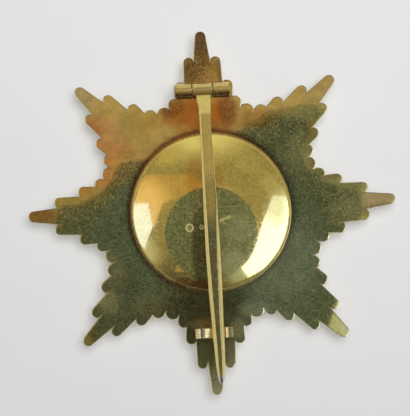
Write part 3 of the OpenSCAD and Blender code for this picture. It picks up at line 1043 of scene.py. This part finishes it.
def catch_profile(s):
    """The catch's strip seen from the star's bottom, with heights above the plate.

    Its upper leaf dips under the pin and rises again to a rounded end."""
    bend_r = s.catch_height / 2
    bend = (bend_r - s.catch_left, bend_r)
    leaf_end = s.catch_leaf - s.catch_left
    base_end = leaf_end + s.catch_base
    top = s.catch_height
    dip = top - s.catch_dip
    rise_r = 2.3 * MM
    rise = (leaf_end, top + 0.2 * MM - rise_r)
    leaf = [(bend[0] + 0.35 * MM, top), (bend[0] + 0.8 * MM, top - 0.1 * MM),
            (-1.5 * MM, dip + 0.07 * MM), (-0.9 * MM, dip), (0.9 * MM, dip),
            (1.3 * MM, dip + 0.08 * MM)] + arc(rise, rise_r, 132, 90, 12)
    under = [(x, z - s.catch_strip) for x, z in leaf]
    return ([(base_end, -SOLDER_SINK), (base_end, s.catch_strip)]
            + arc(bend, bend_r - s.catch_strip, 270, 90) + under + leaf[::-1]
            + arc(bend, bend_r, 90, 270) + [(bend[0], -SOLDER_SINK)])


class STAR_OT_solder(bpy.types.Operator):
    """Makes the solder seams round the knuckles' feet and the catch"""
    bl_idname = "star.solder"
    bl_label = "Solder Seams"

    def execute(self, context):
        s = context.scene.star_sizes
        half_foot = s.foot_width / 2 + 0.12 * MM
        loops = [seam_loop(start, start + s.outer_knuckle, HINGE.y - half_foot, HINGE.y + half_foot)
                 for start in (ROD_LOW.x, ROD_HIGH.x - s.outer_knuckle)]
        half_catch = s.catch_width / 2
        loops.append(seam_loop(s.catch_height / 2 - s.catch_left,
                               s.catch_leaf + s.catch_base - s.catch_left,
                               -s.catch_below - half_catch, -s.catch_below + half_catch))
        values = {"Seam Radius": s.solder_bead, "Unevenness": 0.8, "Lump Size": 900.0,
                  "Bead Share": 0.12, "Seed": context.scene.star_stage.seed}
        mesh = grown(seam_paths(loops, "seam_paths"), solder_tree(), values)
        material = pale_gilt(context.scene.star_finish, "gilt_solder", 0.35, shade_height=0.25)
        placed(shown(mesh, "solder_seams", crease=60), material, "star", "gilt_plate")
        return {"FINISHED"}


def seam_loop(left, right, low, high):
    """A rectangle of corners, just under the plate's back."""
    z = PLATE_BACK - 0.05 * MM
    return [(left, low, z), (right, low, z), (right, high, z), (left, high, z)]


class STAR_OT_back_cover(bpy.types.Operator):
    """Makes the domed back cover with its flange and plain punches"""
    bl_idname = "star.back_cover"
    bl_label = "Back Cover"

    def execute(self, context):
        s = context.scene.star_sizes
        bm = revolved(cover_profile(s), steps=420)
        rim = COVER_LOW.z + s.cover_rim - 0.15 * MM
        top = COVER_LOW.z + s.cover_rim + 0.3 * MM
        # This layer holds the punches' depth, which also marks their outlines for a painted
        # highlight, and the painted highlight of the rim's upper edge
        punch_highlight = bm.verts.layers.float.new("punch")
        for vert in bm.verts:
            if vert.co.z > top:
                vert[punch_highlight] = punched(vert.co.x / MM, vert.co.y / MM)
                vert.co.z -= s.punch_depth * vert[punch_highlight]
            else:
                out = vert.co.to_2d().length - (COVER_HIGH.x - s.flange_width)
                vert[punch_highlight] = RIM_HIGHLIGHT if abs(out) < 0.2 * MM and vert.co.z > rim else 0
        cover = finished(bm, "back_cover_dome", crease=50)
        material = polished_gilt_sheet(context.scene.star_finish)
        placed(cover, material, "star", "gilt_dome", "back_cover")
        return {"FINISHED"}


def cover_profile(s):
    """The cover's sheet from the middle of its top, over rim and flange, to the middle below."""
    radius = COVER_HIGH.x - s.flange_width
    ball = (radius ** 2 + s.cover_rise ** 2) / (2 * s.cover_rise)
    low = COVER_LOW.z
    rim, flange = low + s.cover_rim, low + s.flange_height
    centre = rim + s.cover_rise - ball
    fine_from, fine_to, fine_step, step = 1.2 * MM, 7.4 * MM, 0.11 * MM, 0.5 * MM
    outer, r = [(0, centre + ball)], 0
    while True:
        r += fine_step if fine_from < r < fine_to else step
        if r > radius - 0.4 * MM:
            break
        outer.append((r, centre + math.sqrt(ball ** 2 - r ** 2)))
    inner_ball = ball - s.cover_sheet
    count = 12
    inner_radii = [(radius - s.cover_sheet) * (1 - i / count) for i in range(count)] + [0]
    inner = [(r, centre + math.sqrt(inner_ball ** 2 - r ** 2)) for r in inner_radii]
    corners = [(*outer[-1], 0), (radius, rim, 0.3 * MM), (radius, flange, 0.08 * MM),
               (COVER_HIGH.x, flange, 0.14 * MM), (COVER_HIGH.x, low, 0.05 * MM),
               (radius - s.cover_sheet, low, 0.05 * MM), (*inner[0], 0)]
    return outer[:-1] + filleted(corners) + inner[1:]


def punched(x, y):
    """How deep the punches go at a point in mm, from 0 outside them to 1 in their outline."""
    outline, soft, floor = 0.87, 0.24, 0.15
    depth = 0
    for cx, cy, half_length, half_width in PUNCHES:
        across = math.hypot((x - cx) / half_length, (y - cy) / half_width)
        depth = max(depth, 1 - abs(across - outline) / soft, floor if across < outline else 0)
    return depth


class STAR_OT_medallion(bpy.types.Operator):
    """Makes the plain round boss on the front, which the star lies on"""
    bl_idname = "star.medallion"
    bl_label = "Medallion"

    def execute(self, context):
        radius, height = MEDALLION_HIGH.x, MEDALLION_HIGH.z
        groove, half, deep = 14 * MM, 0.5 * MM, 0.4 * MM
        wall, face = 1.6 * MM, 1 * MM
        soft, small = 0.25 * MM, 0.1 * MM
        corners = [(0, 0, 0), (groove - half, 0, small), (groove - half, deep, small),
                   (groove + half, deep, small), (groove + half, 0, small), (radius, 0, soft),
                   (radius, height, small), (radius - wall, height, small),
                   (radius - wall, face, soft), (0, face, 0)]
        boss = finished(revolved(filleted(corners), steps=180), "medallion_front")
        placed(boss, matt_gilt_front(context.scene.star_finish), "star", "gilt_front", "medallion")
        return {"FINISHED"}


class STAR_OT_pin(bpy.types.Operator):
    """Makes the pin with its middle knuckle"""
    bl_idname = "star.pin"
    bl_label = "Pin"

    def execute(self, context):
        s = context.scene.star_sizes
        middle = (ROD_LOW.x + ROD_HIGH.x) / 2
        half = s.mid_knuckle / 2
        ring = knuckle(s, middle - half, middle + half, "long_pin")
        pin = bored(s, combined(ring, finished(pin_blade(), "pin_blade"), "UNION"))
        material = pale_gilt(context.scene.star_finish, "pale_gilt_pin", 0.2,
                             leans=(0, 10), shade_height=1.3, tip_y=PIN[-1][ALONG] * MM + 1.3 * MM)
        placed(pin, material, "pin", "gilt_pin", "pin")
        return {"FINISHED"}


def smoothed(rows, steps):
    """Rows of a table with steps rows in each gap, on a curve through the given ones."""
    last = len(rows) - 1
    for i in range(last):
        a, b, c, d = (rows[min(max(i + n, 0), last)] for n in (-1, 0, 1, 2))
        for step in range(steps):
            t = step / steps
            yield [0.5 * (2 * q + (r - p) * t + (2 * p - 5 * q + 4 * r - u) * t ** 2
                          + (3 * q - p - 3 * r + u) * t ** 3) for p, q, r, u in zip(a, b, c, d)]
    yield list(rows[last])


def pin_section(row, slope=47):
    """A section's outline: a slightly crowned top, a bevel on each side and a flat underside.

    The bevels slope down at slope degrees."""
    half, thick = row[WIDE] / 2, row[THICK]
    soft = min(0.12, 0.2 * thick)
    crown = 0.012 * row[WIDE] / 3
    sides = []
    for way, bevel in ((1, row[RIGHT]), (-1, row[LEFT])):
        drop = min(bevel * math.tan(math.radians(slope)), 0.7 * thick)
        sides.append([(way * half * 0.85, 0, soft), (way * half, 0.3 * (thick - drop), soft),
                      (way * half, thick - drop, soft),
                      (way * (half - bevel), thick - crown, min(soft, bevel) / 2),
                      (way * (half - bevel - 0.15), thick - crown, 0)])
    right, left = sides
    points = filleted(right + [(0, thick, 0)] + left[::-1], steps=3, closed=True)
    return [(row[SIDE] + x, row[UNDER] + z) for x, z in points]


def pin_blade():
    """The pin's skin through all its sections, closed at both ends."""
    bm = bmesh.new()
    rings = [[bm.verts.new((x * MM, row[ALONG] * MM, PLATE_BACK + z * MM))
              for x, z in pin_section(row)] for row in smoothed(PIN, steps=8)]
    skinned(bm, rings)
    bm.faces.new(rings[0])
    bm.faces.new(rings[-1])
    return bm


# The stage

# What the metal mirrors, in the picture's own frame, in mm. A board has its height above the
# plate, its corners, colour, strength and the patches on it. Only mirrored rays see the boards.
LENS_HEIGHT, LENS_MIDDLE, LENS_RADIUS = 60, (0.5, -12), 34.2
ROOM_COLOUR = "#86794f"
BOARDS = {
    "olive_board": (501, [(17, 91), (23, 94), (25, 97), (30, 99), (35, 103), (39, 104), (48, 106),
                          (57, 108), (68, 108), (93, 80), (93, 40), (80, -8), (60, 20), (20, 60)],
                    "#70735f", 1, []),
    "dark_board": (500, [(-92, 31), (-90, 46), (-77, 47), (-68, 51), (-62, 56), (-57, 63),
                         (-55, 69), (-52, 72), (-47, 73), (-39, 73), (17, 91), (22, 93),
                         (26, 94), (31, 96), (37, 100), (41, 102), (48, 102), (55, 100), (60, 99),
                         (62, 94), (62, 90), (61, 86), (57, 82), (55, 79), (57, 76), (60, 70),
                         (62, 67), (66, 65), (71, 62), (80, 56), (92, 55), (93, 40),
                         (80, -8), (69, -22), (60, -40), (30, -53), (-30, -55), (-68, -36),
                         (-92, 0)],
                   "#2b3a33", 1, []),
    "right_window": (499, [(308, 129), (245, -7), (219, -97), (194, -150), (143, -218),
                           (197, -289), (900, -420), (1300, 150)], "#ccd5ff", 4,
                     [(320, 90, 130, 150, 1, "#8c96bc")]),
    "left_window": (498, [(-285, 115), (-274, -23), (-343, -151), (-640, -165), (-640, 115)],
                    "#a9b5fb", 3, []),
    "warm_wall": (450, [(-395, 228), (-316, 225), (-204, 206), (-81, 193), (-20, 143), (-120, 100),
                        (-200, 74), (-220, 27), (-238, -18), (-250, -26), (-277, 82), (-395, 84)],
                  "#ad8945", 1, [(-320, 60, 200, 200, 1, "#f6d1ad")]),
    "tan_card": (599, [(-181, -225), (-209, -298), (-150, -293)], "#9c865e", 1, []),
    "ceiling": (600, [(-3000, -3000), (3000, -3000), (3000, 3000), (-3000, 3000)], ROOM_COLOUR, 1, [
        (0, 1700, 1900, 1250, 1, "#cacac0"),
        (0, -1800, 2600, 1600, 1, "#2f281b"),
        (0, -900, 2400, 700, 1, "#2a2216"),
        (1900, 0, 1500, 1900, 1, "#a7a790"),
        (-1900, 0, 1500, 1900, 1, "#e1dece"),
        (-60, 640, 420, 360, 1, "#dcd7bc"),
        (-120, -400, 330, 330, 1, "#100e08"),
        (-440, -190, 190, 150, 1, "#bcbfc4"),
        (530, 90, 235, 180, 1, "#e1edff"),
        (-270, 420, 150, 130, 0.8, "#b5a778"),
        (230, 350, 120, 100, 0.7, "#9a9474"),
        (165, -320, 90, 60, 0.8, "#a0b0c8"),
        (0, 135, 190, 80, 1, "#b6aa90"),
        (-3, 265, 30, 130, 1, "#c1b896"),
        (370, 225, 110, 90, 0.7, "#aca690"),
        (-75, 82, 40, 30, 0.8, "#cdb489"),
        (135, 55, 70, 60, 1, "#b0a890"),
        (100, -35, 60, 50, 1, "#cfd2c0"),
        (-115, 45, 60, 50, 1, "#a29876"),
    ]),
}

WALL_RADIUS = 3000
WALL_PATCHES = [
    (0, 3000, 3500, 2500, 1, "#cacac0"),
    (3000, 0, 2500, 3500, 1, "#a7a790"),
    (-3000, 0, 2500, 3500, 1, "#e1dece"),
    (0, -3000, 3000, 2000, 1, "#2f281b"),
]
LENS_DARK = "#284249"
LENS_PATCHES = [
    (17, -33, 13, 15, 0.7, "#7484a0"),
    (20, -8, 15, 15, 0.45, "#7484a0"),
    # A near-black strip left of the pin, mirrored in the dome and the plate beside it: painted
    # shade of the pin
    (-8, -16, 7.5, 40, 0.95, "#0a0f10"),
    (1.2, -28, 5, 50, 1, "#404127"),
    (-0.4, 13, 4.4, 16, 1, "#a3966a"),
]


def glowing(name, bm, hex_colour, strength, patches, roll):
    """A glowing board with patches of other colours, which only mirrored rays see."""
    obj = linked(meshed(bm, name), name)
    material, tree, shader, mm = surface(name, roll)
    tree.nodes.remove(shader)
    painted = patched(tree, linear(hex_colour), mm, patches)
    glow = add(tree, "ShaderNodeEmission", {"Color": opaque(painted), "Strength": strength})
    fed(tree, tree.nodes["Material Output"], {"Surface": glow})
    obj.data.materials.append(material)
    obj.visible_camera = obj.visible_diffuse = obj.visible_shadow = False
    obj.visible_transmission = obj.visible_volume_scatter = False


def board(name, height, corners, hex_colour, strength, patches, roll):
    """A level glowing board overhead."""
    bm = bmesh.new()
    z = PLATE_BACK + height * MM
    bm.faces.new([bm.verts.new(turned((x * MM, y * MM, z), -roll)) for x, y in corners])
    glowing(name, bm, hex_colour, strength, patches, roll)


def walls(height, roll):
    """A round wall from the floor up to a height in mm above the plate."""
    bm = bmesh.new()
    skinned(bm, [[bm.verts.new((x * MM, y * MM, z)) for x, y in circle((0, 0), WALL_RADIUS, 64)]
                 for z in (0, PLATE_BACK + height * MM)])
    glowing("walls", bm, ROOM_COLOUR, 1, WALL_PATCHES, roll)


def pale_floor(base):
    """A large sheet of pale matt paper at the height the star lies on: faint fibres, and a painted
    falloff of light that makes it a little darker towards the picture's bottom."""
    bm = bmesh.new()
    bmesh.ops.create_grid(bm, x_segments=1, y_segments=1, size=3)
    floor = finished(bm, "floor")
    material, tree, shader, mm = surface("matt_paper")
    split = add(tree, "ShaderNodeSeparateXYZ", {"Vector": mm})
    # Painted falloff of light: darker towards the picture's bottom
    light_falloff = add(tree, "ShaderNodeMapRange", {
        "Value": split.outputs["Y"], "From Min": -50, "From Max": 50, "To Min": 0.9})
    paper = add(tree, "ShaderNodeVectorMath", {0: base, "Scale": light_falloff}, operation="SCALE")
    fibres = clouded(tree, paper, mm, 0.06, 0.985, 1.0, detail=4.0)
    fed(tree, shader, {"Base Color": fibres, "Roughness": 0.7})
    floor.data.materials.append(material)


def soft_light(name, power, size, place, hex_colour):
    """A large soft light at a place in metres, aimed at the star."""
    data = bpy.data.lights.new(name, "AREA")
    data.shape = "DISK"
    data.energy, data.size = power, size
    data.color = linear(hex_colour)
    lamp = linked(data, name)
    lamp.location = place
    lamp.rotation_euler = (-lamp.location).to_track_quat("-Z", "Y").to_euler()
    lamp.visible_glossy = False
    return data


class STAR_OT_stage(bpy.types.Operator):
    """Makes the floor, the light, the mirrored boards and the camera"""
    bl_idname = "star.stage"
    bl_label = "Stage"

    def execute(self, context):
        scene = context.scene
        g = scene.star_stage
        roll = math.degrees(g.camera_roll)
        pale_floor(tuple(g.floor))
        lens = circle(LENS_MIDDLE, LENS_RADIUS, 64)
        board("lens_board", LENS_HEIGHT, lens, LENS_DARK, 1, LENS_PATCHES, roll)
        for name, row in BOARDS.items():
            board(name, *row, roll)
        walls(BOARDS["ceiling"][0], roll)
        soft_light("key_light", g.key_power, 0.5, turned((0.13, 0.1, 0.6), -roll), "#ffffff")
        soft_light("fill_light", g.fill_power, 0.8, (0, 0, 0.7), "#fdfdff").use_shadow = False
        world = bpy.data.worlds.new("pale_room")
        world.use_nodes = True
        fed(world.node_tree, world.node_tree.nodes["Background"],
            {"Color": opaque(linear("#eef3ff")), "Strength": 0.13})
        scene.world = world
        scene.view_settings.view_transform = "Standard"
        self.camera(scene, g)
        return {"FINISHED"}

    def camera(self, scene, g):
        """Sets the camera at the picture's angle, aimed at the picture's middle."""
        data = bpy.data.cameras.new("camera")
        data.sensor_width = 36
        data.lens = data.sensor_width * g.camera_distance / g.picture_height
        data.clip_start, data.clip_end = 0.01, 20
        roll = -math.degrees(g.camera_roll)
        back = turned((0, -math.cos(g.camera_height), math.sin(g.camera_height)), roll)
        right = turned((1, 0, 0), roll)
        aim = turned((g.aim_x, g.aim_y, PLATE_BACK), roll)
        turn = Matrix((right, back.cross(right), back)).transposed().to_4x4()
        scene.camera = linked(data, "camera")
        scene.camera.matrix_world = Matrix.Translation(aim + back * g.camera_distance) @ turn


class STAR_PT_panel(bpy.types.Panel):
    """Lists the star's pieces and settings"""
    bl_label = "Breast Star"
    bl_idname = "STAR_PT_panel"
    bl_space_type = "VIEW_3D"
    bl_region_type = "UI"
    bl_category = "Star"

    def draw(self, context):
        for operator in OPERATORS:
            self.layout.operator(operator.bl_idname)
        for group, cls in GROUPS.items():
            box = self.layout.box()
            for name in cls.__annotations__:
                box.prop(getattr(context.scene, group), name)


GROUPS = {"star_sizes": StarSizes, "star_finish": StarFinish, "star_stage": StarStage}
OPERATORS = [
    STAR_OT_stage,
    STAR_OT_ray_plate,
    STAR_OT_back_cover,
    STAR_OT_medallion,
    STAR_OT_outer_knuckles,
    STAR_OT_hinge_rod,
    STAR_OT_catch,
    STAR_OT_solder,
    STAR_OT_pin,
]


def register():
    """Registers the settings, the operators and the panel."""
    for cls in [*GROUPS.values(), *OPERATORS, STAR_PT_panel]:
        bpy.utils.register_class(cls)
    for name, cls in GROUPS.items():
        setattr(bpy.types.Scene, name, PointerProperty(type=cls))


def unregister():
    """Takes back what register did."""
    for name in GROUPS:
        delattr(bpy.types.Scene, name)
    for cls in [STAR_PT_panel, *reversed(OPERATORS), *reversed(GROUPS.values())]:
        bpy.utils.unregister_class(cls)


def main():
    """Makes every piece."""
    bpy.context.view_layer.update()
    register()
    for operator in OPERATORS:
        group, name = operator.bl_idname.split(".")
        getattr(getattr(bpy.ops, group), name)()


if __name__ == "__main__":
    main()
